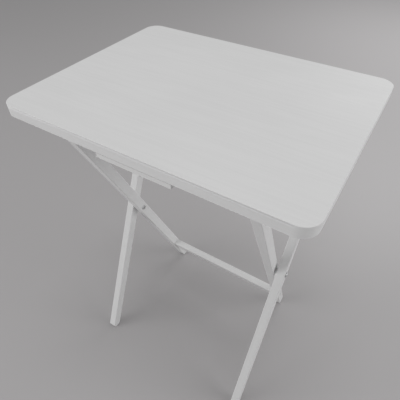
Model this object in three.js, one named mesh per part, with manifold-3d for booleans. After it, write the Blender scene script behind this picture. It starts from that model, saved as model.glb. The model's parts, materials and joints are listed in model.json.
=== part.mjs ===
// Folding tray table: a board on two crossed leg frames.
// Millimetres, +Z up, +X along the board's long side, +Y away from the side that is lifted.
// The origin is on the floor under the middle of the board.
//
// The outer frame's feet are at the lifted side and its tops carry the board on a hinge rod.
// The inner frame's feet are at the far side and its top dowel sits in the cleats' hooked notches.

import * as THREE from "three";
import { mergeVertices } from "three/addons/utils/BufferGeometryUtils.js";
import Module from "manifold-3d";

const wasm = await Module();
wasm.setup();

// ---------------------------------------------------------------- driving dimensions

const GAP = 0.3; // left between pieces that touch
const HEIGHT = 660;

const BOARD = { length: 480, depth: 374, thickness: 18, cornerRadius: 24, edgeRadius: 2 };
const UNDERSIDE = HEIGHT - BOARD.thickness;
const FRONT = -BOARD.depth / 2;

const PIVOT = { y: -12, z: 338 }; // where the legs cross, seen along X
const OUTER_LEAN = THREE.MathUtils.degToRad(23.4);
const INNER_LEAN = THREE.MathUtils.degToRad(25.2);

const LEG = { thickness: 17, width: 21, edgeRadius: 1.5 };
const OUTER_LEG_X = 182; // middle of the leg's thickness
const INNER_LEG_X = 160.5;

const HINGE_DROP = 15; // hinge axis below the board's underside
const CROSSBAR_DROP = 38; // dowel axis below the board's underside

const STRETCHER = { depth: 16, height: 32, below: 272, edgeRadius: 1.5 };
const DOWEL = { radius: 8, edge: 1 };

const CLEAT = { thickness: 16, x: 142, hingeRadius: 11, jaw: 11, noseDrop: 16 };
CLEAT.depth = HINGE_DROP + CLEAT.hingeRadius;
const NOTCH = { radius: 8.5, rampAngle: THREE.MathUtils.degToRad(50) };
const GRIP = { x: 5, length: 120, depth: 16, height: 8, edge: 1 };

const ROD_RADIUS = 4;
const SLEEVE_RADIUS = 6.5;
const BOLT = { radius: 3, headRadius: 5.5, headHeight: 3.2, rim: 0.8 };
const BARREL = { radius: 4, headRadius: 5, headHeight: 1.2, floor: 2 };
const SPACER_RADIUS = 5.8;
const CAP = { radius: 7, height: 4.8, rim: 1, bore: 2.4 };
const GLIDE = { radius: 4.5, height: 1.2, edge: 0.4, nailRadius: 1.2, nailLength: 9, nailPoint: 1 };

const LONG_SCREW = { length: 44, radius: 2, headRadius: 4, headHeight: 2.6 };
const CLEAT_SCREW = { length: 35, radius: 2, headRadius: 4, headHeight: 2.6 };
const GRIP_SCREW = { length: 17, radius: 1.6, headRadius: 3.2, headHeight: 2 };
const SCREW_POINT = { length: 4, radius: 0.6 };
const CLEAT_SCREW_Y = [-100, -15, 70];
const GRIP_SCREW_X = 40; // from the grip's middle

const SCREW_SIDES = 10;
const ROUND = 16; // sides of a small turned piece
const FINE_ROUND = 24; // sides of a dowel or a washer
const LEG_END_STEPS = 10; // steps of a half circle on a leg's end
const DOME_STEPS = 4;

// ---------------------------------------------------------------- derived places

const HINGE = {
  z: UNDERSIDE - HINGE_DROP,
  up: (UNDERSIDE - HINGE_DROP - PIVOT.z) / Math.cos(OUTER_LEAN),
};
HINGE.y = PIVOT.y + HINGE.up * Math.sin(OUTER_LEAN);

const CROSSBAR = {
  z: UNDERSIDE - CROSSBAR_DROP,
  up: (UNDERSIDE - CROSSBAR_DROP - PIVOT.z) / Math.cos(INNER_LEAN),
};
CROSSBAR.y = PIVOT.y - CROSSBAR.up * Math.sin(INNER_LEAN);

const LEG_END = LEG.width / 2;
const footDown = (lean) => (PIVOT.z - LEG_END) / Math.cos(lean);
const OUTER_FACE = OUTER_LEG_X + LEG.thickness / 2;
const OUTER_INSIDE = OUTER_LEG_X - LEG.thickness / 2;
const INNER_FACE = INNER_LEG_X + LEG.thickness / 2;
const INNER_INSIDE = INNER_LEG_X - LEG.thickness / 2;
const CLEAT_FACE = CLEAT.x + CLEAT.thickness / 2;

// ---------------------------------------------------------------- materials

const paintedWood = new THREE.MeshStandardMaterial({ color: 0xe4e4e2, roughness: 0.5, metalness: 0 });
const zincSteel = new THREE.MeshStandardMaterial({ color: 0xa9abad, roughness: 0.35, metalness: 0.9 });
const nylon = new THREE.MeshStandardMaterial({ color: 0xd8d6d0, roughness: 0.6, metalness: 0 });

// ---------------------------------------------------------------- solids

function toSolid(geometry) {
  const bare = geometry.clone();
  bare.deleteAttribute("normal");
  bare.deleteAttribute("uv");
  const merged = mergeVertices(bare, 1e-4);
  return new wasm.Manifold(
    new wasm.Mesh({
      numProp: 3,
      vertProperties: new Float32Array(merged.attributes.position.array),
      triVerts: new Uint32Array(merged.index.array),
    }),
  );
}

function toGeometry(solid) {
  const mesh = solid.getMesh();
  const geometry = new THREE.BufferGeometry();
  geometry.setAttribute("position", new THREE.BufferAttribute(mesh.vertProperties, 3));
  geometry.setIndex(new THREE.BufferAttribute(mesh.triVerts, 1));
  geometry.computeVertexNormals();
  return geometry;
}

function cutAll(geometry, cutters) {
  return toGeometry(cutters.reduce((solid, cutter) => solid.subtract(toSolid(cutter)), toSolid(geometry)));
}

// A shape drawn with x for Y and y for Z, given a thickness centred on X = 0.
function alongX(shape, thickness, edgeRadius, curveSegments = 6) {
  const geometry = new THREE.ExtrudeGeometry(shape, {
    depth: thickness - 2 * edgeRadius,
    bevelEnabled: edgeRadius > 0,
    bevelThickness: edgeRadius,
    bevelSize: edgeRadius,
    bevelOffset: -edgeRadius,
    bevelSegments: 2,
    curveSegments,
  });
  geometry.translate(0, 0, edgeRadius - thickness / 2);
  return geometry.applyMatrix4(new THREE.Matrix4().set(0, 0, 1, 0, 1, 0, 0, 0, 0, 1, 0, 0, 0, 0, 0, 1));
}

// A turned piece: profile points are [radius, distance along the axis].
function turned(profile, sides) {
  return new THREE.LatheGeometry(
    profile.map(([radius, along]) => new THREE.Vector2(radius, along)),
    sides,
  );
}

// Turns a piece's own +Y axis to +X, or to -X on the left.
const axisToX = (geometry, side) => geometry.clone().rotateZ((-side * Math.PI) / 2);
const axisToZ = (geometry) => geometry.clone().rotateX(Math.PI / 2);

const cylinder = (radius, length, sides = ROUND) => new THREE.CylinderGeometry(radius, radius, length, sides);

// A countersunk wood screw along its own axis, its head's face at 0 and its point at +length.
function screwProfile({ length, radius, headRadius, headHeight }, grow = 0) {
  return [
    [0, -grow],
    [headRadius + grow, -grow],
    [radius + grow, headHeight],
    [radius + grow, length - SCREW_POINT.length + grow],
    [SCREW_POINT.radius, length + grow],
    [0, length + grow],
  ];
}
const screw = (size) => turned(screwProfile(size), SCREW_SIDES);
const screwHole = (size) => turned(screwProfile(size, GAP), SCREW_SIDES);

function mesh(name, geometry, material, x = 0, y = 0, z = 0) {
  const piece = new THREE.Mesh(geometry, material);
  piece.name = name;
  piece.position.set(x, y, z);
  return piece;
}

const SIDES = [
  { side: -1, word: "left" },
  { side: 1, word: "right" },
];

// ---------------------------------------------------------------- tabletop

function roundedRectangle(length, depth, radius) {
  const shape = new THREE.Shape();
  const x = length / 2 - radius;
  const y = depth / 2 - radius;
  shape.absarc(x, y, radius, 0, Math.PI / 2);
  shape.absarc(-x, y, radius, Math.PI / 2, Math.PI);
  shape.absarc(-x, -y, radius, Math.PI, 1.5 * Math.PI);
  shape.absarc(x, -y, radius, 1.5 * Math.PI, 2 * Math.PI);
  return shape;
}

// Every screw that stands in the board, as [name, x, y, head height, size].
const BOARD_SCREWS = SIDES.flatMap(({ side, word }) => [
  ...CLEAT_SCREW_Y.map((y, n) => [
    `cleat_screw_${word}_${n + 1}`, side * CLEAT.x, y, UNDERSIDE - CLEAT.depth, CLEAT_SCREW,
  ]),
  [
    `grip_screw_${word}`,
    GRIP.x + side * GRIP_SCREW_X,
    FRONT + GRIP.depth / 2,
    UNDERSIDE - GRIP.height,
    GRIP_SCREW,
  ],
]);

function boardScrewHoles() {
  return BOARD_SCREWS.map(([, x, y, z, size]) => axisToZ(screwHole(size)).translate(x, y, z));
}

function tabletopBoard() {
  const geometry = new THREE.ExtrudeGeometry(
    roundedRectangle(BOARD.length, BOARD.depth, BOARD.cornerRadius),
    {
      depth: BOARD.thickness - 2 * BOARD.edgeRadius,
      bevelThickness: BOARD.edgeRadius,
      bevelSize: BOARD.edgeRadius,
      bevelOffset: -BOARD.edgeRadius,
      bevelSegments: 2,
      curveSegments: 8,
    },
  );
  geometry.translate(0, 0, UNDERSIDE + BOARD.edgeRadius);
  return cutAll(geometry, boardScrewHoles());
}

// Side view of a cleat: a hooked notch near the front, a round end about the hinge axis.
function cleatShape() {
  const shape = new THREE.Shape();
  const top = UNDERSIDE - GAP;
  const bottom = UNDERSIDE - CLEAT.depth;
  const jawBack = CROSSBAR.y - NOTCH.radius;
  const nose = jawBack - CLEAT.jaw;
  const rampStart = Math.PI / 2 - NOTCH.rampAngle; // where the ramp leaves the notch's arc
  const tangentY = CROSSBAR.y + NOTCH.radius * Math.cos(rampStart);
  const tangentZ = CROSSBAR.z + NOTCH.radius * Math.sin(rampStart);
  const rampEnd = tangentY + (tangentZ - bottom) / Math.tan(NOTCH.rampAngle);
  shape.moveTo(nose, top);
  shape.lineTo(nose, UNDERSIDE - CLEAT.noseDrop);
  shape.lineTo(nose + CLEAT.jaw / 3, CROSSBAR.z);
  shape.lineTo(jawBack, CROSSBAR.z);
  shape.absarc(CROSSBAR.y, CROSSBAR.z, NOTCH.radius, Math.PI, rampStart, true);
  shape.lineTo(rampEnd, bottom);
  shape.absarc(HINGE.y, HINGE.z, CLEAT.hingeRadius, -Math.PI / 2, 0);
  shape.lineTo(HINGE.y + CLEAT.hingeRadius, top);
  shape.closePath();
  const bore = new THREE.Path();
  bore.absarc(HINGE.y, HINGE.z, ROD_RADIUS + GAP, 0, 2 * Math.PI, true);
  shape.holes.push(bore);
  return shape;
}

function cleat(side) {
  const plain = alongX(cleatShape(), CLEAT.thickness, 0, 12).translate(side * CLEAT.x, 0, 0);
  return cutAll(plain, boardScrewHoles());
}

function gripShape() {
  const shape = new THREE.Shape();
  const top = UNDERSIDE - GAP;
  const bottom = UNDERSIDE - GRIP.height;
  const back = FRONT + GRIP.depth;
  shape.moveTo(FRONT, top);
  shape.lineTo(FRONT, bottom + GRIP.edge);
  shape.lineTo(FRONT + GRIP.edge, bottom);
  shape.lineTo(back, bottom);
  shape.lineTo(back, top);
  shape.closePath();
  return shape;
}

function tabletop() {
  const group = new THREE.Group();
  group.add(mesh("tabletop_board", tabletopBoard(), paintedWood));
  for (const { side, word } of SIDES) {
    group.add(mesh(`cleat_${word}`, cleat(side), paintedWood));
  }
  const grip = cutAll(alongX(gripShape(), GRIP.length, 0).translate(GRIP.x, 0, 0), boardScrewHoles());
  group.add(mesh("front_grip", grip, paintedWood));
  for (const [name, x, y, z, size] of BOARD_SCREWS) {
    group.add(mesh(name, axisToZ(screw(size)), zincSteel, x, y, z));
  }
  return group;
}

// ---------------------------------------------------------------- leg frames

// A frame's own axes start at the pivot, with its legs along Z.
function frameGroup(turn) {
  const group = new THREE.Group();
  group.position.set(0, PIVOT.y, PIVOT.z);
  group.rotation.x = turn;
  group.updateMatrix();
  return group;
}

function ring(inner, outer, thickness, sides = FINE_ROUND) {
  const shape = new THREE.Shape();
  shape.absarc(0, 0, outer, 0, 2 * Math.PI);
  const bore = new THREE.Path();
  bore.absarc(0, 0, inner, 0, 2 * Math.PI, true);
  shape.holes.push(bore);
  return alongX(shape, thickness, 0, sides / 2);
}

// A leg is a bar with half-round ends; each bore is [distance up the leg, radius].
function leg(up, down, bores) {
  const shape = new THREE.Shape();
  shape.absarc(0, up, LEG_END, 0, Math.PI);
  shape.absarc(0, -down, LEG_END, Math.PI, 2 * Math.PI);
  shape.closePath();
  for (const [height, radius] of bores) {
    const bore = new THREE.Path();
    bore.absarc(0, height, radius, 0, 2 * Math.PI, true);
    shape.holes.push(bore);
  }
  return alongX(shape, LEG.thickness, LEG.edgeRadius, LEG_END_STEPS);
}

function glideGeometry(grow = 0) {
  const { radius, height, edge, nailRadius, nailLength, nailPoint } = GLIDE;
  return axisToZ(
    turned(
      [
        [0, 0],
        [radius - edge, 0],
        [radius, edge],
        [radius, height],
        [nailRadius + grow, height],
        [nailRadius + grow, height + nailLength + grow],
        [0, height + nailLength + nailPoint + grow],
      ],
      ROUND,
    ),
  );
}

// The flat and the nail hole of a foot, in the frame's own axes.
function footCutters(group, x, y) {
  const size = 2 * LEG.width;
  const flat = new THREE.BoxGeometry(size, size, size);
  flat.translate(x, y, GLIDE.height + GAP - size / 2);
  const toFrame = group.matrix.clone().invert();
  return [flat, glideGeometry(GAP).translate(x, y, 0)].map((cutter) => cutter.applyMatrix4(toFrame));
}

// Points of a domed head's profile, from its seat up its upright rim to the axis.
function domedHead({ radius, height, rim }, seat) {
  const points = [[radius, seat]];
  for (let n = 0; n < DOME_STEPS; n += 1) {
    const angle = ((n / DOME_STEPS) * Math.PI) / 2;
    points.push([radius * Math.cos(angle), seat + rim + (height - rim) * Math.sin(angle)]);
  }
  points.push([0, seat + height]);
  return points;
}

// Where the barrel nut's blind bore ends, along X.
const BARREL_FLOOR = INNER_INSIDE - GAP + BARREL.floor;

function pivotBolt() {
  const seat = OUTER_FACE + GAP;
  const tail = BARREL_FLOOR + GAP;
  const head = { radius: BOLT.headRadius, height: BOLT.headHeight, rim: BOLT.rim };
  return turned([[0, tail], [BOLT.radius, tail], [BOLT.radius, seat], ...domedHead(head, seat)], ROUND);
}

// A barrel nut: it lines the inner leg's bore, and its thin head lies on the leg's inner face.
function pivotNut() {
  const seat = INNER_INSIDE - GAP;
  return turned(
    [
      [0, seat - BARREL.headHeight],
      [BARREL.headRadius, seat - BARREL.headHeight],
      [BARREL.headRadius, seat],
      [BARREL.radius, seat],
      [BARREL.radius, INNER_FACE],
      [BOLT.radius + GAP, INNER_FACE],
      [BOLT.radius + GAP, BARREL_FLOOR],
      [0, BARREL_FLOOR],
    ],
    ROUND,
  );
}

function hingeCap() {
  const seat = OUTER_FACE + GAP;
  const boreEnd = seat + CAP.bore + GAP;
  return turned(
    [[0, boreEnd], [ROD_RADIUS + GAP, boreEnd], [ROD_RADIUS + GAP, seat], ...domedHead(CAP, seat)],
    ROUND,
  );
}

function outerFrame() {
  const group = frameGroup(-OUTER_LEAN);
  const down = footDown(OUTER_LEAN);
  const footY = PIVOT.y - down * Math.sin(OUTER_LEAN);
  const bores = [[0, BOLT.radius + GAP], [HINGE.up, ROD_RADIUS + GAP]];
  const feet = new THREE.Group();
  for (const { side, word } of SIDES) {
    const x = side * OUTER_LEG_X;
    const plain = leg(HINGE.up, down, bores).translate(x, 0, 0);
    group.add(mesh(`outer_leg_${word}`, cutAll(plain, footCutters(group, x, footY)), paintedWood));
    group.add(mesh(`pivot_bolt_${word}`, axisToX(pivotBolt(), side), zincSteel));
    group.add(mesh(`pivot_nut_${word}`, axisToX(pivotNut(), side), zincSteel));
    const spacer = ring(BOLT.radius + GAP, SPACER_RADIUS, OUTER_INSIDE - INNER_FACE - 2 * GAP);
    group.add(mesh(`pivot_spacer_${word}`, spacer, nylon, (side * (OUTER_INSIDE + INNER_FACE)) / 2));
    group.add(mesh(`hinge_cap_${word}`, axisToX(hingeCap(), side), zincSteel, 0, 0, HINGE.up));
    const sleeve = ring(ROD_RADIUS + GAP, SLEEVE_RADIUS, OUTER_INSIDE - CLEAT_FACE - 2 * GAP);
    const sleeveX = (side * (OUTER_INSIDE + CLEAT_FACE)) / 2;
    group.add(mesh(`hinge_sleeve_${word}`, sleeve, nylon, sleeveX, 0, HINGE.up));
    feet.add(mesh(`outer_glide_${word}`, glideGeometry(), nylon, x, footY));
  }
  const rodLength = 2 * (OUTER_FACE + GAP + CAP.bore);
  const rod = axisToX(cylinder(ROD_RADIUS, rodLength), 1);
  group.add(mesh("hinge_rod", rod, zincSteel, 0, 0, HINGE.up));
  return [group, feet];
}

function stretcherShape() {
  const shape = new THREE.Shape();
  const y = STRETCHER.depth / 2;
  const z = STRETCHER.height / 2;
  const edge = STRETCHER.edgeRadius;
  const corners = [[y, z, 0], [-y, z, 1], [-y, -z, 2], [y, -z, 3]];
  for (const [cornerY, cornerZ, quarter] of corners) {
    const start = (quarter * Math.PI) / 2;
    const middleY = cornerY - Math.sign(cornerY) * edge;
    const middleZ = cornerZ - Math.sign(cornerZ) * edge;
    shape.absarc(middleY, middleZ, edge, start, start + Math.PI / 2);
  }
  shape.closePath();
  return shape;
}

// Where the frame's long screws stand: [name, distance up the leg].
const FRAME_SCREWS = [["stretcher_screw", -STRETCHER.below], ["crossbar_screw", CROSSBAR.up]];

function frameScrew(geometry, side, up) {
  return axisToX(geometry, -side).translate(side * INNER_FACE, 0, up);
}

function crossbar() {
  const end = INNER_INSIDE - GAP;
  const { radius, edge } = DOWEL;
  const pilot = LONG_SCREW.radius + GAP;
  const pilotEnd = INNER_FACE - LONG_SCREW.length - 2 * GAP;
  return turned(
    [
      [0, -pilotEnd],
      [pilot, -pilotEnd],
      [pilot, -end],
      [radius - edge, -end],
      [radius, edge - end],
      [radius, end - edge],
      [radius - edge, end],
      [pilot, end],
      [pilot, pilotEnd],
      [0, pilotEnd],
    ],
    FINE_ROUND,
  );
}

function innerFrame() {
  const group = frameGroup(INNER_LEAN);
  const down = footDown(INNER_LEAN);
  const footY = PIVOT.y + down * Math.sin(INNER_LEAN);
  const holes = SIDES.flatMap(({ side }) =>
    FRAME_SCREWS.map(([, up]) => frameScrew(screwHole(LONG_SCREW), side, up)),
  );
  const feet = new THREE.Group();
  for (const { side, word } of SIDES) {
    const x = side * INNER_LEG_X;
    const plain = leg(CROSSBAR.up, down, [[0, BARREL.radius + GAP]]).translate(x, 0, 0);
    const cutters = [...holes, ...footCutters(group, x, footY)];
    group.add(mesh(`inner_leg_${word}`, cutAll(plain, cutters), paintedWood));
    for (const [name, up] of FRAME_SCREWS) {
      group.add(mesh(`${name}_${word}`, frameScrew(screw(LONG_SCREW), side, up), zincSteel));
    }
    feet.add(mesh(`inner_glide_${word}`, glideGeometry(), nylon, x, footY));
  }
  const bar = alongX(stretcherShape(), 2 * (INNER_INSIDE - GAP), 0, 3).translate(0, 0, -STRETCHER.below);
  group.add(mesh("lower_stretcher", cutAll(bar, holes), paintedWood));
  group.add(mesh("crossbar", axisToX(crossbar(), 1), paintedWood, 0, 0, CROSSBAR.up));
  return [group, feet];
}

// ---------------------------------------------------------------- the whole table

const table = new THREE.Group();
table.add(tabletop(), ...outerFrame(), ...innerFrame());

export default table;
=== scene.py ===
"""A small folding table in white painted wood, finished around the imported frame.

Metres, +Z up, +X along the top's long side, -Y towards the side that is lifted.
A piece is made in its own axes, with its length and grain along X, and is then placed.
"""

import json
import math

import bmesh
import bpy
from mathutils import Matrix, Vector
from mathutils.geometry import tessellate_polygon


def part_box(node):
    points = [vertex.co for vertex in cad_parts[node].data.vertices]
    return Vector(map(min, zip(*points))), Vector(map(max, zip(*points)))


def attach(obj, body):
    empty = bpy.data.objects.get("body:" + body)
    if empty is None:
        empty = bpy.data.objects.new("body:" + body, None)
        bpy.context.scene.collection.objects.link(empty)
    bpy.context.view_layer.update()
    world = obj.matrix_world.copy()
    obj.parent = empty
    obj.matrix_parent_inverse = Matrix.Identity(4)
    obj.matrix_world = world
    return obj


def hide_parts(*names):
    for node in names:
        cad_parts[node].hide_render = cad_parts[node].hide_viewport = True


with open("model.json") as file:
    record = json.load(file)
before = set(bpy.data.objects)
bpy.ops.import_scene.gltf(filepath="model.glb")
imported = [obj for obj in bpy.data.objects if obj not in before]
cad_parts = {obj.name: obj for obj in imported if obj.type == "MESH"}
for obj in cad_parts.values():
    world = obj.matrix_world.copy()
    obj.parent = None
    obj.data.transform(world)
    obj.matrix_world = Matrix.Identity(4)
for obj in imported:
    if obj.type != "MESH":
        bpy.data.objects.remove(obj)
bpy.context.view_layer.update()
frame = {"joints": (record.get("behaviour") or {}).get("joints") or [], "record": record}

MM = 0.001
TURN = 2 * math.pi

# ------------------------------------------------------------------ steps and shared sizes

CORNER_STEPS = 10  # steps of a rounded corner in an outline
ARRIS_STEPS = 6  # steps of a rounded arris
HOLE_STEPS = 32
DOME_STEPS = 14
TURNED_SIDES = 64  # sides of a large turned piece
SMALL_SIDES = 48  # sides of a bolt, a nut or a glide
SCREW_SIDES = 32
SCREW_HOLE_SIDES = 40
SHARP_ANGLE = math.radians(38)  # a corner sharper than this stays a corner in the shading
LEAST_MITRE = 0.3  # an inset corner moves at most the inset divided by this
BORE_PLAY = 0.3 * MM  # between a bore and what runs in it, on the radius

# ------------------------------------------------------------------ sizes of the pieces

BOARD = {
    "corner": 24 * MM,
    "corner_steps": 24,
    "soft": 0.5 * MM,  # rounding of the board's arrises
    "soft_steps": 8,
    "skin": 2.6 * MM,  # thickness of the skin over the core
    "undercut": 1.1 * MM,  # how far the skin's edge is cut under at the board's left end
    "joint": 1.2 * MM,  # depth of the joint below the skin at the board's left end
    "joint_step": 0.1 * MM,
    "joint_run": 0.42,  # length over which the joint closes
    "ease": 1.7 * MM,  # height of the core's eased arris
    "sharp_angle": math.radians(13),
}
LEG = {
    "width": 21 * MM,
    "arris": 1.5 * MM,
    "end_steps": 32,
    "foot_flat": 1.5 * MM,  # how much of the round foot is cut level with the floor
}
STRETCHER = {
    "below": 272 * MM,  # from the pivot down the inner leg
    "depth": 16 * MM,
    "height": 32 * MM,
    "arris": 1.8 * MM,
    "arris_steps": 6,
    "end": 0.4 * MM,
    "end_steps": 3,
}
DOWEL = {"radius": 8 * MM, "edge": 1 * MM, "edge_steps": 5}
CLEAT = {
    "hinge_radius": 11 * MM,
    "jaw": 11 * MM,  # length of the hook in front of the notch
    "nose_drop": 16 * MM,
    "nose_round": 3 * MM,
    "lip_round": 2 * MM,
    "gap": 0.3 * MM,  # between the cleat and the board
    "arris": 1.2 * MM,
    "round_steps": 24,
    "heel_steps": 5,
    "heel_start": math.pi * 0.72,
}
NOTCH = {"radius": 8.5 * MM, "ramp": math.radians(50)}
GRIP = {"soft": 0.8 * MM, "end": 0.5 * MM}
ROD = {"radius": 4 * MM, "chamfer": 0.6 * MM}
BOLT = {
    "radius": 3 * MM,
    "head": 5.5 * MM,  # radius of the head
    "height": 3.2 * MM,
    "rim": 0.8 * MM,
    "edge": 0.3 * MM,
    "thread": 12 * MM,  # length of the thread
    "pitch": 1 * MM,
    "rows_a_pitch": 8,
    "core": 0.85,  # the thread's core, its start and the tip, against the shank's radius
    "start": 0.8,
    "tip": 0.75,
}
BARREL = {
    "radius": 4 * MM,
    "head": 5 * MM,  # radius of the head
    "height": 1.2 * MM,
    "floor": 2 * MM,
    "soft": 0.35 * MM,
}
SOCKET = {
    "mouth": 1.08,  # width of the chamfered mouth against the flats
    "chamfer": 0.2 * MM,
    "point": 0.4 * MM,  # depth of the drill point below the flats
    "clear": 1.2,  # the dome stops this much outside the socket's corners
}
BOLT_SOCKET = {"flats": 4 * MM, "depth": 1.8 * MM}
NUT_SOCKET = {"flats": 3 * MM, "depth": 1.2 * MM}
SPACER = {"radius": 5.8 * MM, "edge": 0.5 * MM}
SLEEVE = {"radius": 6.5 * MM, "edge": 0.6 * MM}
CAP = {"radius": 7 * MM, "rim": 1 * MM, "rim_steps": 8, "bore_depth": 2.7 * MM}
GLIDE = {
    "radius": 4.5 * MM,
    "height": 1.2 * MM,
    "edge": 0.4 * MM,
    "edge_steps": 5,
    "top_edge": 0.3 * MM,
    "flat": 0.45,  # the flat under the glide, against its radius
    "nail": 1.2 * MM,  # radius of the nail
    "nail_length": 10 * MM,
    "nail_point": 3 * MM,
}
LONG_SCREW = {"length": 44 * MM, "radius": 2 * MM, "head": 4 * MM, "head_height": 2.6 * MM}
CLEAT_SCREW = {"length": 35 * MM, "radius": 2 * MM, "head": 4 * MM, "head_height": 2.6 * MM}
GRIP_SCREW = {"length": 17 * MM, "radius": 1.6 * MM, "head": 3.2 * MM, "head_height": 2 * MM}
SCREW_SHAPE = {
    "edge": 0.15 * MM,  # chamfer of the head's rim
    "recess": 0.7,  # depth of the cross recess against the head's height
    "recess_foot": (0.28, 0.16),  # arm and width of the cross against the head's radius
    "recess_mouth": (0.55, 0.26),
    "pitch": 0.9,  # pitch, shank and thread core against the screw's radius
    "shank": 0.78,
    "core": 0.7,
    "point_crest": 0.15,
    "head_pitches": 2,  # length of the plain shank and of the point, in pitches
    "point_pitches": 3,
    "rows_a_pitch": 6,
}
SCREW_HOLE = {"play": 0.1 * MM, "past": 1 * MM}
THREAD_FLANK = 2.4  # how fast a thread falls from its crest to its core

# ------------------------------------------------------------------ places, from the frame

JOINTS = {joint["name"]: Vector(joint["pos_m"]) for joint in frame["joints"]}
BODIES = {
    node: body
    for body, nodes in frame["record"]["behaviour"]["bodies"].items()
    for node in nodes
}
SIDES = {"left": -1, "right": 1}


def middle(node):
    low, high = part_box(node)
    return (low + high) / 2


def extent(node):
    low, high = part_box(node)
    return high - low


PIVOT = JOINTS["leg_fold"]
HINGE = JOINTS["top_tilt"]
CROSSBAR = middle("crossbar")
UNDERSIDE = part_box("tabletop_board")[0].z


# ------------------------------------------------------------------ outlines


def arc(centre, radius, start, end, steps):
    """Points of an arc, both ends included, turning from start to end."""
    angles = [start + (end - start) * n / steps for n in range(steps + 1)]
    return [(centre[0] + radius * math.cos(a), centre[1] + radius * math.sin(a)) for a in angles]


def filleted(corners, steps=CORNER_STEPS):
    """An outline through (x, y, radius) corners, each rounded to its radius."""
    points = []
    for n, (x, y, radius) in enumerate(corners):
        here = Vector((x, y))
        if radius == 0:
            points.append((x, y))
            continue
        back = (Vector(corners[n - 1][:2]) - here).normalized()
        ahead = (Vector(corners[(n + 1) % len(corners)][:2]) - here).normalized()
        half = back.angle(ahead) / 2
        centre = here + (back + ahead).normalized() * (radius / math.sin(half))
        start = here + back * (radius / math.tan(half)) - centre
        sweep = start.angle_signed(here + ahead * (radius / math.tan(half)) - centre)
        first = math.atan2(start.y, start.x)
        points += arc(centre, radius, first, first - sweep, steps)
    return points


def stadium(top, bottom, radius, steps):
    """A bar's outline along X, with half-round ends centred at top and bottom."""
    quarter = math.pi / 2
    upper_end = arc((top, 0), radius, -quarter, quarter, steps)
    lower_end = arc((bottom, 0), radius, quarter, 3 * quarter, steps)
    return upper_end + lower_end


def circle_hole(centre, radius):
    """A round hole's outline, clockwise."""
    return arc(centre, radius, 0, -TURN, HOLE_STEPS)[:-1]


def inset(loop, distance):
    """The outline moved into the material, which lies to its left, by a distance or a function of x."""
    moved = []
    for n, point in enumerate(loop):
        here = Vector(point)
        before = (here - Vector(loop[n - 1])).normalized()
        after = (Vector(loop[(n + 1) % len(loop)]) - here).normalized()
        left = Vector((-before.y - after.y, before.x + after.x)).normalized()
        mitre = max(LEAST_MITRE, left.dot(Vector((-before.y, before.x))))
        reach = distance(here.x) if callable(distance) else distance
        moved.append(here + left * (reach / mitre))
    return moved


# ------------------------------------------------------------------ solids as (vertices, faces)


def round_edge(thickness, radius, steps=ARRIS_STEPS):
    """A slab's edge from its top to its bottom, as (inset, height), with both arrises rounded."""
    upper = [
        (radius * (1 - math.sin(a)), thickness / 2 - radius * (1 - math.cos(a)))
        for a in (math.pi / 2 * n / steps for n in range(steps + 1))
    ]
    return upper + [(depth, -height) for depth, height in reversed(upper)]


def slab(loops, edge):
    """A plate of these outlines, holes among them, with the edge profile all round."""
    vertices, faces, top, bottom = [], [], [], []
    for loop in loops:
        count, start = len(loop), len(vertices)
        for depth, height in edge:
            vertices += [(x, y, height) for x, y in inset(loop, depth)]
        for row in range(start, len(vertices) - count, count):
            for n in range(count):
                m = (n + 1) % count
                faces.append((row + n, row + count + n, row + count + m, row + m))
        top.append(list(range(start, start + count)))
        bottom.append(list(range(len(vertices) - count, len(vertices))))
    for cap in (top, bottom):
        order = [index for loop in cap for index in loop]
        flat = [[Vector(vertices[index]) for index in loop] for loop in cap]
        faces += [tuple(order[corner] for corner in triangle) for triangle in tessellate_polygon(flat)]
    return vertices, faces


def turned(rings, sides=TURNED_SIDES, closed=False):
    """A turned solid about X. A ring is (x, radius), and a radius may be a function of angle and x."""
    vertices, faces, rows = [], [], []
    for along, radius in rings:
        first = len(vertices)
        if radius == 0:
            vertices.append((along, 0, 0))
        else:
            for n in range(sides):
                angle = TURN * n / sides
                reach = radius(angle, along) if callable(radius) else radius
                vertices.append((along, reach * math.cos(angle), reach * math.sin(angle)))
        rows.append(range(first, len(vertices)))
    pairs = list(zip(rows, rows[1:])) + ([(rows[-1], rows[0])] if closed else [])
    for near, far in pairs:
        for n in range(sides):
            m = (n + 1) % sides
            if len(near) == 1:
                faces.append((near[0], far[m], far[n]))
            elif len(far) == 1:
                faces.append((near[n], near[m], far[0]))
            else:
                faces.append((near[n], near[m], far[m], far[n]))
    return vertices, faces


def tube(inner, outer, length, edge):
    """A ring about X with rounded edges."""
    rings = []
    half = length / 2
    corners = ((half, outer, 0), (half, inner, 1), (-half, inner, 2), (-half, outer, 3))
    for x, radius, quarter in corners:
        x_centre = x - math.copysign(edge, x)
        r_centre = radius + (edge if radius == inner else -edge)
        start = math.pi / 2 * (1 - quarter)
        for n in range(ARRIS_STEPS + 1):
            angle = start - math.pi / 2 * n / ARRIS_STEPS
            rings.append((x_centre + edge * math.cos(angle), r_centre + edge * math.sin(angle)))
    return turned(rings, closed=True)


def along_x(solid):
    """Turns a slab so that its thickness runs along X, and its outline's x and y along Y and Z."""
    vertices, faces = solid
    return [(z, x, y) for x, y, z in vertices], faces


# ------------------------------------------------------------------ radius functions


def hexagon_radius(flats):
    """Radius of a hexagon, measured across its flats."""
    wedge = TURN / 6
    return lambda angle, along: flats / 2 / math.cos((angle + wedge / 2) % wedge - wedge / 2)


def cross_radius(arm, width):
    """Radius of a cross-shaped recess."""

    def radius(angle, along):
        folded = abs((angle + TURN / 8) % (TURN / 4) - TURN / 8)
        across = width / 2 / math.sin(folded) if folded > 0 else arm
        return min(arm / math.cos(folded), across)

    return radius


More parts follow.
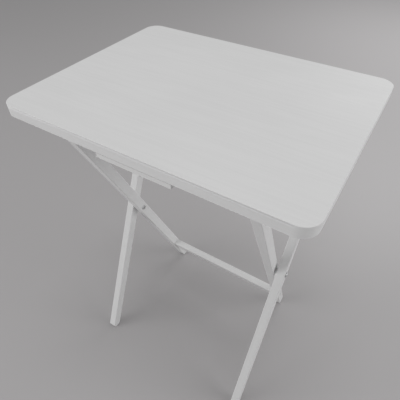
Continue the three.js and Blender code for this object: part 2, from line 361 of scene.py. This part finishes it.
def thread_radius(core, crest, pitch):
    """Radius of a single-start thread."""

    def radius(angle, along):
        phase = (along / pitch - angle / TURN) % 1
        return core + (crest - core) * max(0, 1 - THREAD_FLANK * abs(phase - 0.5))

    return radius


def dome(radius, height, base):
    """Rings of a dome that rises along X from its rim, without the axis."""
    angles = [math.pi / 2 * n / DOME_STEPS for n in range(DOME_STEPS)]
    return [(base + height * math.sin(a), radius * math.cos(a)) for a in angles]


# ------------------------------------------------------------------ placing


def placed(origin, x_axis, z_axis):
    """A matrix that puts a piece's origin there, with its own X and Z along these directions."""
    x_axis, z_axis = Vector(x_axis).normalized(), Vector(z_axis).normalized()
    matrix = Matrix((x_axis, z_axis.cross(x_axis), z_axis)).transposed().to_4x4()
    matrix.translation = Vector(origin)
    return matrix


def raw_object(name, solid, place):
    """An object of this solid at this place, its faces turned outwards."""
    vertices, faces = solid
    mesh = bpy.data.meshes.new(name)
    mesh.from_pydata(vertices, [], faces)
    edited = bmesh.new()
    edited.from_mesh(mesh)
    bmesh.ops.recalc_face_normals(edited, faces=edited.faces)
    edited.to_mesh(mesh)
    edited.free()
    made = bpy.data.objects.new(name, mesh)
    bpy.context.scene.collection.objects.link(made)
    made.matrix_world = place
    return made


def carve(piece, cutters):
    """Cuts each (solid, place) out of the piece."""
    for solid, place in cutters:
        cutter = raw_object("cutter", solid, place)
        modifier = piece.modifiers.new("cut", "BOOLEAN")
        modifier.object = cutter
        modifier.solver = "EXACT"
        bpy.context.view_layer.update()
        depsgraph = bpy.context.evaluated_depsgraph_get()
        carved = bpy.data.meshes.new_from_object(piece.evaluated_get(depsgraph))
        piece.modifiers.clear()
        piece.data = carved
        bpy.data.objects.remove(cutter)


def shade(piece, sharp_angle):
    """Smooth shading that keeps real corners sharp and flat faces flat."""
    mesh = piece.data
    mesh.polygons.foreach_set("use_smooth", [True] * len(mesh.polygons))
    mesh.set_sharp_from_angle(angle=sharp_angle)
    weighted = piece.modifiers.new("weighted_normals", "WEIGHTED_NORMAL")
    weighted.keep_sharp = True
    weighted.weight = 80


def finish_piece(node, solid, place, material, cutters=(), sharp_angle=SHARP_ANGLE):
    """The piece that stands for a CAD node: it rides on the node's body."""
    piece = raw_object(f"{node}_finished", solid, place)
    carve(piece, cutters)
    shade(piece, sharp_angle)
    piece.data.materials.clear()
    piece.data.materials.append(material)
    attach(piece, BODIES[node])
    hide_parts(node)


# ------------------------------------------------------------------ materials

# A noise scale is per metre, on the piece's own axes: along it, across it, across it.
NOISE_ROUGHNESS = 0.55
NOISE_RANGE = (0.3, 0.7)  # where nearly all of a noise's values lie
PAINT = {
    "white": (0.80, 0.80, 0.80, 1.0),
    "dark_grain": 0.93,  # brightness of the dark grain against the white
    "undercoat": (0.92, 0.91, 0.89),  # colour where the paint is thin, against the white
    "random_seeds": 40.0,
    "figure_scale": (2.2, 34.0, 34.0),
    "figure_bands": 46.0,
    "fibre_along": 9.0,
    "fibre_shade": 0.35,
    "cloud_scale": (7.0, 9.0, 9.0),
    "cloud_shade": 0.15,
    "pore_scale": (900.0, 900.0, 900.0),
    "end_facing": (0.75, 0.98),  # how far a face looks along the grain before it is end grain
    "worn_pointiness": (0.53, 0.62),
    "worn": 0.35,
    "roughness": (0.40, 0.52),
    "end_roughness": 0.12,
    "figure_relief": 0.25,
    "bump": (0.35, 0.12 * MM),
    "specular": 0.45,
}
ZINC = {
    "light": (0.70, 0.705, 0.71, 1.0),
    "dark": (0.57, 0.575, 0.58, 1.0),
    "mottle_scale": (420.0, 420.0, 420.0),
    "mottle_range": (0.35, 0.65),
    "mark_scale": (2600.0, 160.0, 160.0),
    "roughness": (0.32, 0.46),
    "bump": (0.3, 0.02 * MM),
}
MOULDED = {
    "clean": (0.72, 0.72, 0.71, 1.0),
    "scuffed": (0.62, 0.615, 0.60, 1.0),
    "texture_scale": (1500.0, 1500.0, 1500.0),
    "scuff_scale": (180.0, 180.0, 180.0),
    "scuff_colour_range": (0.5, 0.7),
    "scuff_roughness_range": (0.4, 0.7),
    "roughness": (0.48, 0.66),
    "bump": (0.4, 0.03 * MM),
    "subsurface": (0.1, 1 * MM),  # weight and scale
}
SEEDS = {"mottle": 1.0, "marks": 2.0, "texture": 3.0, "scuffs": 4.0}
MIX_COLOURS = (6, 7, 2)  # the Mix node's two colour inputs and its colour output


def add_node(tree, kind, inputs=None, **settings):
    """A shader node; an input given as a socket is linked, any other is set."""
    made = tree.nodes.new(kind)
    for key, value in settings.items():
        setattr(made, key, value)
    for key, value in (inputs or {}).items():
        if isinstance(value, bpy.types.NodeSocket):
            tree.links.new(value, made.inputs[key])
        else:
            made.inputs[key].default_value = value
    return made


def new_material(name):
    material = bpy.data.materials.new(name)
    material.use_nodes = True
    tree = material.node_tree
    return material, tree, tree.nodes["Principled BSDF"]


def stretched_noise(tree, coordinates, scale, seed, detail):
    """Noise whose grains are drawn out, by a scale per metre on each axis."""
    mapping = add_node(tree, "ShaderNodeMapping", {"Vector": coordinates, "Scale": scale})
    inputs = {
        "Vector": mapping.outputs["Vector"],
        "W": seed,
        "Scale": 1.0,
        "Detail": detail,
        "Roughness": NOISE_ROUGHNESS,
    }
    return add_node(tree, "ShaderNodeTexNoise", inputs, noise_dimensions="4D").outputs["Fac"]


def math_node(tree, operation, first, second, clamp=False):
    inputs = {0: first, 1: second}
    return add_node(tree, "ShaderNodeMath", inputs, operation=operation, use_clamp=clamp).outputs[0]


def ranged(tree, value, source, target):
    """The value moved from one range to another, and held inside it."""
    inputs = {
        "Value": value,
        "From Min": source[0],
        "From Max": source[1],
        "To Min": target[0],
        "To Max": target[1],
    }
    return add_node(tree, "ShaderNodeMapRange", inputs).outputs["Result"]


def mixed(tree, factor, first, second):
    """A colour between the first and the second."""
    first_input, second_input, output = MIX_COLOURS
    inputs = {"Factor": factor, first_input: first, second_input: second}
    return add_node(tree, "ShaderNodeMix", inputs, data_type="RGBA").outputs[output]


def add_bump(tree, shader, height, strength, distance):
    inputs = {"Strength": strength, "Distance": distance, "Height": height}
    bump = add_node(tree, "ShaderNodeBump", inputs)
    tree.links.new(bump.outputs["Normal"], shader.inputs["Normal"])


def scaled(colour, factors):
    """The colour with its three channels multiplied."""
    return tuple(channel * factor for channel, factor in zip(colour, factors)) + (1.0,)


def painted_wood(name, figure_strength, fibre_across):
    """White satin paint over wood: grain along the piece's X, open end grain, thinner on the arrises."""
    material, tree, shader = new_material(name)
    coordinates = add_node(tree, "ShaderNodeTexCoord")
    place = coordinates.outputs["Object"]
    random = add_node(tree, "ShaderNodeObjectInfo").outputs["Random"]
    seed = math_node(tree, "MULTIPLY", random, PAINT["random_seeds"])

    broad = stretched_noise(tree, place, PAINT["figure_scale"], seed, detail=2.0)
    bands = math_node(tree, "SINE", math_node(tree, "MULTIPLY", broad, PAINT["figure_bands"]), 0.0)
    figure = ranged(tree, bands, (-1.0, 1.0), (0.0, 1.0))
    fibre_scale = (PAINT["fibre_along"], fibre_across, fibre_across)
    fibres = stretched_noise(tree, place, fibre_scale, seed, detail=4.0)
    clouds = stretched_noise(tree, place, PAINT["cloud_scale"], seed, detail=1.0)
    pores = stretched_noise(tree, place, PAINT["pore_scale"], seed, detail=2.0)

    split = add_node(tree, "ShaderNodeSeparateXYZ", {0: coordinates.outputs["Normal"]})
    facing = math_node(tree, "ABSOLUTE", split.outputs["X"], 0.0)
    end_grain = ranged(tree, facing, PAINT["end_facing"], (0.0, 1.0))

    fibre_shade = ranged(tree, fibres, NOISE_RANGE, (0.0, PAINT["fibre_shade"]))
    cloud_shade = ranged(tree, clouds, NOISE_RANGE, (-PAINT["cloud_shade"], PAINT["cloud_shade"]))
    shading = math_node(tree, "MULTIPLY", figure, figure_strength)
    shading = math_node(tree, "ADD", shading, fibre_shade)
    shading = math_node(tree, "ADD", shading, cloud_shade, clamp=True)
    white = PAINT["white"]
    colour = mixed(tree, shading, white, scaled(white, [PAINT["dark_grain"]] * 3))
    pointed = add_node(tree, "ShaderNodeNewGeometry").outputs["Pointiness"]
    worn = ranged(tree, pointed, PAINT["worn_pointiness"], (0.0, PAINT["worn"]))
    colour = mixed(tree, worn, colour, scaled(white, PAINT["undercoat"]))
    tree.links.new(colour, shader.inputs["Base Color"])

    rough = ranged(tree, fibres, NOISE_RANGE, PAINT["roughness"])
    end_rough = math_node(tree, "MULTIPLY", end_grain, PAINT["end_roughness"])
    tree.links.new(math_node(tree, "ADD", rough, end_rough), shader.inputs["Roughness"])

    relief = math_node(tree, "MULTIPLY", figure, PAINT["figure_relief"])
    along = math_node(tree, "ADD", fibres, relief)
    add_bump(tree, shader, mixed(tree, end_grain, along, pores), *PAINT["bump"])
    shader.inputs["Specular IOR Level"].default_value = PAINT["specular"]
    return material


def zinc_steel():
    """Zinc-plated steel with a mottled film and fine turning marks round its axis."""
    material, tree, shader = new_material("zinc_steel")
    coordinates = add_node(tree, "ShaderNodeTexCoord").outputs["Object"]
    mottle = stretched_noise(tree, coordinates, ZINC["mottle_scale"], SEEDS["mottle"], detail=3.0)
    marks = stretched_noise(tree, coordinates, ZINC["mark_scale"], SEEDS["marks"], detail=2.0)
    film = ranged(tree, mottle, ZINC["mottle_range"], (0.0, 1.0))
    tree.links.new(mixed(tree, film, ZINC["light"], ZINC["dark"]), shader.inputs["Base Color"])
    tree.links.new(ranged(tree, marks, NOISE_RANGE, ZINC["roughness"]), shader.inputs["Roughness"])
    add_bump(tree, shader, marks, *ZINC["bump"])
    shader.inputs["Metallic"].default_value = 1.0
    return material


def moulded_nylon():
    """Off-white nylon with a fine moulded texture and scuffs."""
    material, tree, shader = new_material("moulded_nylon")
    coordinates = add_node(tree, "ShaderNodeTexCoord").outputs["Object"]
    texture = stretched_noise(tree, coordinates, MOULDED["texture_scale"], SEEDS["texture"], detail=2.0)
    scuffs = stretched_noise(tree, coordinates, MOULDED["scuff_scale"], SEEDS["scuffs"], detail=4.0)
    scuffed = ranged(tree, scuffs, MOULDED["scuff_colour_range"], (0.0, 1.0))
    colour = mixed(tree, scuffed, MOULDED["clean"], MOULDED["scuffed"])
    tree.links.new(colour, shader.inputs["Base Color"])
    rough = ranged(tree, scuffs, MOULDED["scuff_roughness_range"], MOULDED["roughness"])
    tree.links.new(rough, shader.inputs["Roughness"])
    add_bump(tree, shader, texture, *MOULDED["bump"])
    weight, scale = MOULDED["subsurface"]
    shader.inputs["Subsurface Weight"].default_value = weight
    shader.inputs["Subsurface Scale"].default_value = scale
    return material


TOP_PAINT = painted_wood("painted_top", figure_strength=0.22, fibre_across=420.0)
BAR_PAINT = painted_wood("painted_bars", figure_strength=0.12, fibre_across=700.0)
ZINC_STEEL = zinc_steel()
NYLON = moulded_nylon()


# ------------------------------------------------------------------ screws


def screw_solid(size):
    """A countersunk wood screw: its head's face at x = 0, a cross recess, a thread and a point."""
    radius, head, head_height, length = size["radius"], size["head"], size["head_height"], size["length"]
    shape = SCREW_SHAPE
    edge, recess_depth = shape["edge"], shape["recess"] * head_height
    pitch = shape["pitch"] * radius
    thread_start = head_height + shape["head_pitches"] * pitch
    point_start = length - shape["point_pitches"] * pitch
    foot_arm, foot_width = shape["recess_foot"]
    mouth_arm, mouth_width = shape["recess_mouth"]
    rings = [
        (recess_depth, 0),
        (recess_depth, cross_radius(foot_arm * head, foot_width * head)),
        (0, cross_radius(mouth_arm * head, mouth_width * head)),
        (0, head - edge),
        (edge, head),
        (head_height, shape["shank"] * radius),
        (thread_start, shape["shank"] * radius),
    ]
    step = pitch / shape["rows_a_pitch"]
    for n in range(1, int((length - thread_start) / step)):
        along = thread_start + n * step
        taper = min(1, (length - along) / (length - point_start))
        crest = radius * (shape["point_crest"] + (1 - shape["point_crest"]) * taper)
        rings.append((along, thread_radius(shape["core"] * radius * taper, crest, pitch)))
    rings.append((length, 0))
    return turned(rings, SCREW_SIDES)


def screw_cutter(size):
    """The countersunk hole of a screw."""
    play, past = SCREW_HOLE["play"], SCREW_HOLE["past"]
    head, hole, end = size["head"] + play, size["radius"] + BORE_PLAY, size["length"] + BORE_PLAY
    rings = [
        (-past, 0),
        (-past, head),
        (play, head),
        (size["head_height"] + play, hole),
        (end, hole),
        (end, 0),
    ]
    return turned(rings, SCREW_HOLE_SIDES)


# Every screw as node: (size, place). Its own X runs from the head's face to the point.
SCREWS = {}


def note_screw(node, size, head, direction):
    upright = (0, 0, 1) if abs(direction[2]) < 0.5 else (0, 1, 0)
    SCREWS[node] = (size, placed(head, direction, upright))


def screw_cutters(nodes):
    return [(screw_cutter(SCREWS[node][0]), SCREWS[node][1]) for node in nodes]


# ------------------------------------------------------------------ tabletop


def board_edge(thickness):
    """The board's edge from top to bottom: a skin cut slightly under, its joint, the core's eased arris."""
    top, soft, steps = thickness / 2, BOARD["soft"], BOARD["soft_steps"]

    def opened(depth):
        """A depth that is full at the board's left end and closes evenly towards its right end."""
        return lambda x: depth * min(1, max(0, 0.5 - x / BOARD["joint_run"]))

    quarter = [math.pi / 2 * n / steps for n in range(steps + 1)]
    upper = [(soft * (1 - math.sin(a)), top - soft * (1 - math.cos(a))) for a in quarter]
    lower = [(depth, -height) for depth, height in reversed(upper)]
    skin = top - BOARD["skin"]
    joint = [
        (opened(BOARD["undercut"]), skin),
        (opened(BOARD["joint"]), skin - BOARD["joint_step"]),
        (0, skin - BOARD["ease"]),
    ]
    return upper + joint + lower


def tabletop_board():
    length, depth, thickness = extent("tabletop_board")
    x, y, corner = length / 2, depth / 2, BOARD["corner"]
    outline = filleted(
        [(x, -y, corner), (x, y, corner), (-x, y, corner), (-x, -y, corner)],
        BOARD["corner_steps"],
    )
    place = Matrix.Translation(middle("tabletop_board"))
    solid = slab([outline], board_edge(thickness))
    cutters = screw_cutters(BOARD_SCREWS)
    finish_piece("tabletop_board", solid, place, TOP_PAINT, cutters, BOARD["sharp_angle"])


def cleat_outline():
    """A cleat from the side, x along +Y and y up from the hinge axis: hooked notch, ramp, round hinge end."""
    top = UNDERSIDE - CLEAT["gap"] - HINGE.z
    bottom = -CLEAT["hinge_radius"]
    notch = (CROSSBAR.y - HINGE.y, CROSSBAR.z - HINGE.z)
    radius, ramp = NOTCH["radius"], NOTCH["ramp"]
    jaw_back = notch[0] - radius
    nose = jaw_back - CLEAT["jaw"]
    leave = math.pi / 2 - ramp
    tangent = (notch[0] + radius * math.cos(leave), notch[1] + radius * math.sin(leave))
    ramp_end = tangent[0] + (tangent[1] - bottom) / math.tan(ramp)
    soft, steps = CLEAT["arris"], CLEAT["round_steps"]
    corners = [
        (CLEAT["hinge_radius"], top, soft),
        (nose, top, soft),
        (nose, UNDERSIDE - CLEAT["nose_drop"] - HINGE.z, CLEAT["nose_round"]),
        (nose + CLEAT["jaw"] / 3, notch[1], CLEAT["lip_round"]),
        (jaw_back, notch[1], soft),
    ]
    # The last three corners only give the rounded ones their directions.
    guides = [(jaw_back, notch[1] + radius, 0), (ramp_end, bottom, 0), (0, bottom, 0)]
    outline = filleted(corners + guides)[: -len(guides)]
    outline += arc(notch, radius, math.pi, leave, steps)[1:]
    heel = (ramp_end + 2 * soft, bottom + soft)
    outline += arc(heel, soft, CLEAT["heel_start"], math.pi * 1.5, CLEAT["heel_steps"])[1:]
    outline += arc((0, 0), CLEAT["hinge_radius"], -math.pi / 2, 0, steps)
    return outline


def cleat(word):
    node = f"cleat_{word}"
    screws = [name for name in BOARD_SCREWS if name.startswith(f"cleat_screw_{word}")]
    bore = circle_hole((0, 0), ROD["radius"] + BORE_PLAY)
    solid = slab([cleat_outline(), bore], round_edge(extent(node).x, CLEAT["arris"]))
    place = placed((middle(node).x, HINGE.y, HINGE.z), (0, 1, 0), (1, 0, 0))
    finish_piece(node, solid, place, BAR_PAINT, screw_cutters(screws))


def front_grip():
    """The strip under the lifted edge: tight against the board above, softened below and at its ends."""
    length, depth, height = extent("front_grip")
    y, z, soft = depth / 2, height / 2, GRIP["soft"]
    section = filleted([(-y, z, 0), (-y, -z, soft), (y, -z, soft), (y, z, 0)])
    solid = along_x(slab([section], round_edge(length, GRIP["end"])))
    screws = [name for name in BOARD_SCREWS if name.startswith("grip_screw")]
    place = Matrix.Translation(middle("front_grip"))
    finish_piece("front_grip", solid, place, BAR_PAINT, screw_cutters(screws))


def note_board_screws():
    """Notes where the board's screws stand; each head's face is at its CAD node's lowest point."""
    nodes = [f"cleat_screw_{word}_{n}" for word in SIDES for n in (1, 2, 3)]
    nodes += [f"grip_screw_{word}" for word in SIDES]
    for node in nodes:
        low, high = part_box(node)
        head = ((low.x + high.x) / 2, (low.y + high.y) / 2, low.z)
        note_screw(node, CLEAT_SCREW if node.startswith("cleat") else GRIP_SCREW, head, (0, 0, 1))
    return nodes


# ------------------------------------------------------------------ leg frames


class LegFrame:
    """A pair of legs that lean by the direction from the pivot to their upper axis."""

    def __init__(self, name, upper_axis):
        self.name = name
        self.up = Vector((0, upper_axis.y - PIVOT.y, upper_axis.z - PIVOT.z))
        self.top = self.up.length
        self.up.normalize()
        self.bottom = -(PIVOT.z - LEG["width"] / 2) / self.up.z

    def at(self, x, along):
        """The point that far up the leg from the pivot, at that X."""
        return Vector((x, PIVOT.y, PIVOT.z)) + self.up * along

    def place(self, x):
        return placed(self.at(x, 0), self.up, (1, 0, 0))

    def outline(self):
        """The leg's outline, its foot cut level with the floor."""
        radius = LEG["width"] / 2
        down = self.place(0).to_3x3().inverted() @ Vector((0, 0, -1))
        reach = radius - LEG["foot_flat"]
        points = []
        for x, y in stadium(self.top, self.bottom, radius, LEG["end_steps"]):
            below = (x - self.bottom) * down.x + y * down.y - reach
            below = max(0, below) if x < self.bottom + radius else 0
            points.append((x - below * down.x, y - below * down.y))
        return points

    def leg(self, word, bores, cutters=()):
        node = f"{self.name}_leg_{word}"
        holes = [circle_hole((along, 0), radius) for along, radius in bores]
        solid = slab([self.outline(), *holes], round_edge(extent(node).x, LEG["arris"]))
        finish_piece(node, solid, self.place(middle(node).x), BAR_PAINT, cutters)

    def glide(self, word):
        node = f"{self.name}_glide_{word}"
        place = placed((middle(node).x, middle(node).y, 0), (0, 0, 1), (0, 1, 0))
        finish_piece(node, glide_solid(), place, NYLON)


def glide_solid():
    """A nail-on glide: a disc with a flat, rounded foot, and its nail."""
    radius, height, edge, nail = GLIDE["radius"], GLIDE["height"], GLIDE["edge"], GLIDE["nail"]
    steps, top_edge = GLIDE["edge_steps"], GLIDE["top_edge"]
    foot = [
        (edge * (1 - math.cos(a)), radius - edge * (1 - math.sin(a)))
        for a in (math.pi / 2 * n / steps for n in range(steps + 1))
    ]
    rings = [
        (0, 0),
        (0, radius * GLIDE["flat"]),
        *foot,
        (height - top_edge, radius),
        (height, radius - top_edge),
        (height, nail),
        (height + GLIDE["nail_length"] - GLIDE["nail_point"], nail),
        (height + GLIDE["nail_length"], 0),
    ]
    return turned(rings, SMALL_SIDES)


OUTER = LegFrame("outer", HINGE)
INNER = LegFrame("inner", CROSSBAR)


def facing_out(node, side):
    """How far out on its own side a piece starts and ends."""
    low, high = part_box(node)
    return (low.x, high.x) if side > 0 else (-high.x, -low.x)


def socket_rings(size, face, inwards):
    """Rings of a hexagon socket, from its mouth in the face to the axis."""
    flats, depth = size["flats"], size["depth"]
    return [
        (face, hexagon_radius(flats * SOCKET["mouth"])),
        (face + inwards * SOCKET["chamfer"], hexagon_radius(flats)),
        (face + inwards * depth, hexagon_radius(flats)),
        (face + inwards * (depth + SOCKET["point"]), 0),
    ]


def pivot_bolt(side, word):
    """A low domed bolt with a hexagon socket, its thread in the barrel nut."""
    node = f"pivot_bolt_{word}"
    tip, crown = facing_out(node, side)
    seat = crown - BOLT["height"]
    radius, head, rim, edge = BOLT["radius"], BOLT["head"], BOLT["rim"], BOLT["edge"]
    pitch, core, start = BOLT["pitch"], BOLT["core"], BOLT["start"]
    mouth = BOLT_SOCKET["flats"] / math.sqrt(3) * SOCKET["clear"]
    crown_dome = dome(head, BOLT["height"] - rim, seat + rim)
    crown_dome = [(along, reach) for along, reach in crown_dome if reach > mouth]
    rings = [(tip, 0), (tip, BOLT["tip"] * radius)]
    rows = BOLT["rows_a_pitch"] * round(BOLT["thread"] / pitch)
    for n in range(1, rows):
        along = tip + BOLT["thread"] * n / rows
        grown = min(1, start + (1 - start) * (along - tip) / pitch)
        rings.append((along, thread_radius(core * radius * grown, radius * grown, pitch)))
    rings += [
        (tip + BOLT["thread"] + edge, radius),
        (seat, radius),
        (seat, head - edge),
        (seat + edge, head),
        *crown_dome,
        *socket_rings(BOLT_SOCKET, crown_dome[-1][0], -1),
    ]
    place = placed((0, PIVOT.y, PIVOT.z), (side, 0, 0), OUTER.up)
    finish_piece(node, turned(rings, SMALL_SIDES), place, ZINC_STEEL)


def pivot_nut(side, word):
    """A barrel nut that lines the inner leg's bore, with a thin head and a hexagon socket."""
    node = f"pivot_nut_{word}"
    face, end = facing_out(node, side)
    seat = face + BARREL["height"]
    floor_at = seat + BARREL["floor"]
    radius, head, soft = BARREL["radius"], BARREL["head"], BARREL["soft"]
    bore = BOLT["radius"] + BORE_PLAY
    rings = [
        *reversed(socket_rings(NUT_SOCKET, face, 1)),
        (face, head - 2 * soft),
        (face + 0.3 * soft, head - soft),
        (face + soft, head - 0.3 * soft),
        (face + 2 * soft, head),
        (seat, head),
        (seat, radius),
        (end - soft, radius),
        (end, radius - soft),
        (end, bore),
        (floor_at, bore),
        (floor_at, 0),
    ]
    place = placed((0, PIVOT.y, PIVOT.z), (side, 0, 0), INNER.up)
    finish_piece(node, turned(rings, SMALL_SIDES), place, ZINC_STEEL)


def hinge_cap(side, word):
    """A push-on dome cap over the rod's end, with a rolled rim."""
    node = f"hinge_cap_{word}"
    seat, crown = facing_out(node, side)
    radius, rim, steps = CAP["radius"], CAP["rim"], CAP["rim_steps"]
    bore = ROD["radius"] + BORE_PLAY
    roll = [
        (seat + rim / 2 * (1 - math.cos(a)), radius - rim / 2 * (1 - math.sin(a)))
        for a in (math.pi * n / steps for n in range(steps + 1))
    ]
    rings = [
        (seat + CAP["bore_depth"], 0),
        (seat + CAP["bore_depth"], bore),
        (seat, bore),
        *roll,
        *dome(radius - rim / 2, crown - seat - rim, seat + rim)[1:],
        (crown, 0),
    ]
    place = placed((0, HINGE.y, HINGE.z), (side, 0, 0), OUTER.up)
    finish_piece(node, turned(rings), place, ZINC_STEEL)


def hinge_rod():
    half, radius, chamfer = extent("hinge_rod").x / 2, ROD["radius"], ROD["chamfer"]
    end = [(half, 0), (half, radius - chamfer), (half - chamfer, radius)]
    rings = end + [(-along, reach) for along, reach in reversed(end)]
    finish_piece("hinge_rod", turned(rings), Matrix.Translation(HINGE), ZINC_STEEL)


def ring(node, inner, size):
    """A spacer or a sleeve."""
    solid = tube(inner, size["radius"], extent(node).x, size["edge"])
    finish_piece(node, solid, Matrix.Translation(middle(node)), NYLON)


def lower_stretcher():
    length = extent("lower_stretcher").x
    y, z, arris = STRETCHER["depth"] / 2, STRETCHER["height"] / 2, STRETCHER["arris"]
    corners = [(y, -z, arris), (y, z, arris), (-y, z, arris), (-y, -z, arris)]
    section = filleted(corners, STRETCHER["arris_steps"])
    ends = round_edge(length, STRETCHER["end"], STRETCHER["end_steps"])
    place = placed(INNER.at(0, -STRETCHER["below"]), (1, 0, 0), INNER.up)
    cutters = screw_cutters(f"stretcher_screw_{word}" for word in SIDES)
    finish_piece("lower_stretcher", along_x(slab([section], ends)), place, BAR_PAINT, cutters)


def crossbar():
    """The dowel that the cleats hook over, its ends eased."""
    half, radius, edge, steps = extent("crossbar").x / 2, DOWEL["radius"], DOWEL["edge"], DOWEL["edge_steps"]
    eased = [
        (half - edge * (1 - math.sin(a)), radius - edge * (1 - math.cos(a)))
        for a in (math.pi / 2 * (1 - n / steps) for n in range(steps + 1))
    ]
    rings = [(half, 0), *eased, *[(-along, reach) for along, reach in reversed(eased)], (-half, 0)]
    cutters = screw_cutters(f"crossbar_screw_{word}" for word in SIDES)
    finish_piece("crossbar", turned(rings), placed(CROSSBAR, (1, 0, 0), INNER.up), BAR_PAINT, cutters)


def note_frame_screws():
    """Notes the long screws, driven in from the inner legs' outer faces."""
    for word, side in SIDES.items():
        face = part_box("inner_leg_right")[1].x * side
        for name, along in (("stretcher_screw", -STRETCHER["below"]), ("crossbar_screw", INNER.top)):
            note_screw(f"{name}_{word}", LONG_SCREW, INNER.at(face, along), (-side, 0, 0))


# ------------------------------------------------------------------ the table

BOARD_SCREWS = note_board_screws()
note_frame_screws()

tabletop_board()
front_grip()
hinge_rod()
lower_stretcher()
crossbar()
bolt_bore = BOLT["radius"] + BORE_PLAY
rod_bore = ROD["radius"] + BORE_PLAY
barrel_bore = BARREL["radius"] + BORE_PLAY
for word, side in SIDES.items():
    cleat(word)
    OUTER.leg(word, [(0, bolt_bore), (OUTER.top, rod_bore)])
    inner_leg_screws = [f"stretcher_screw_{word}", f"crossbar_screw_{word}"]
    INNER.leg(word, [(0, barrel_bore)], screw_cutters(inner_leg_screws))
    OUTER.glide(word)
    INNER.glide(word)
    pivot_bolt(side, word)
    pivot_nut(side, word)
    hinge_cap(side, word)
    ring(f"pivot_spacer_{word}", bolt_bore, SPACER)
    ring(f"hinge_sleeve_{word}", rod_bore, SLEEVE)
for node, (size, place) in SCREWS.items():
    finish_piece(node, screw_solid(size), place, ZINC_STEEL)


# ------------------------------------------------------------------ stage, light and camera

FLOOR = {"reach": 6.0, "colour": (0.43, 0.418, 0.422, 1.0), "roughness": 0.45, "specular": 0.8}
ROOM = {"colour": (1.0, 1.0, 1.0, 1.0), "strength": 0.4}
TABLE_MIDDLE = Vector((0, 0, 0.4))
LIGHT_DISTANCE = 3.0  # from the middle of the table to the lights round it
LIGHT_ELEVATION = math.radians(20)
CAMERA = {
    "place": (0.2683, -0.4477, 0.9367),
    "tilt": math.radians(45.80),  # from straight down
    "turn": math.radians(31.91),
    "sensor": 36.0,  # mm
    "lens": 33.54,  # mm
}


def around_table(azimuth):
    """The place of a light that stands round the table, by its azimuth in degrees from +X."""
    turn = math.radians(azimuth)
    out = LIGHT_DISTANCE * math.cos(LIGHT_ELEVATION)
    up = LIGHT_DISTANCE * math.sin(LIGHT_ELEVATION)
    return TABLE_MIDDLE + Vector((out * math.cos(turn), out * math.sin(turn), up))


# Each light as (place, target, side of the square in metres, watts).
LIGHTS = {
    "overhead": ((0, 0, 3.4), TABLE_MIDDLE, 1.2, 12),
    "right": (around_table(15), TABLE_MIDDLE, 1.8, 27),
    "left": (around_table(225), TABLE_MIDDLE, 1.8, 27),
    "front": (around_table(255), TABLE_MIDDLE, 1.8, 5),
    "far_floor": ((0.3, 2.4, 1.5), (0.3, 2.4, 0), 1.2, 14),
}


def floor():
    """A plain pale floor with a soft sheen."""
    mesh = bpy.data.meshes.new("floor")
    reach = FLOOR["reach"]
    corners = [(-reach, -reach, 0), (reach, -reach, 0), (reach, reach, 0), (-reach, reach, 0)]
    mesh.from_pydata(corners, [], [(0, 1, 2, 3)])
    made = bpy.data.objects.new("floor", mesh)
    bpy.context.scene.collection.objects.link(made)
    material, _, shader = new_material("pale_floor")
    shader.inputs["Base Color"].default_value = FLOOR["colour"]
    shader.inputs["Roughness"].default_value = FLOOR["roughness"]
    shader.inputs["Specular IOR Level"].default_value = FLOOR["specular"]
    mesh.materials.append(material)


def soft_light(name, place, target, size, energy):
    lamp = bpy.data.lights.new(name, "AREA")
    lamp.shape = "SQUARE"
    lamp.size = size
    lamp.energy = energy
    made = bpy.data.objects.new(name, lamp)
    made.location = place
    made.rotation_mode = "QUATERNION"
    made.rotation_quaternion = (Vector(target) - Vector(place)).to_track_quat("-Z", "Y")
    bpy.context.scene.collection.objects.link(made)


def room_light():
    world = bpy.data.worlds.new("room")
    bpy.context.scene.world = world
    world.use_nodes = True
    background = world.node_tree.nodes["Background"]
    background.inputs["Color"].default_value = ROOM["colour"]
    background.inputs["Strength"].default_value = ROOM["strength"]


def camera():
    lens = bpy.data.cameras.new("camera")
    lens.sensor_width = CAMERA["sensor"]
    lens.lens = CAMERA["lens"]
    made = bpy.data.objects.new("camera", lens)
    made.location = CAMERA["place"]
    made.rotation_euler = (CAMERA["tilt"], 0, CAMERA["turn"])
    bpy.context.scene.collection.objects.link(made)
    bpy.context.scene.camera = made


bpy.context.scene.view_settings.view_transform = "Standard"
floor()
room_light()
for name, light in LIGHTS.items():
    soft_light(name, *light)
camera()
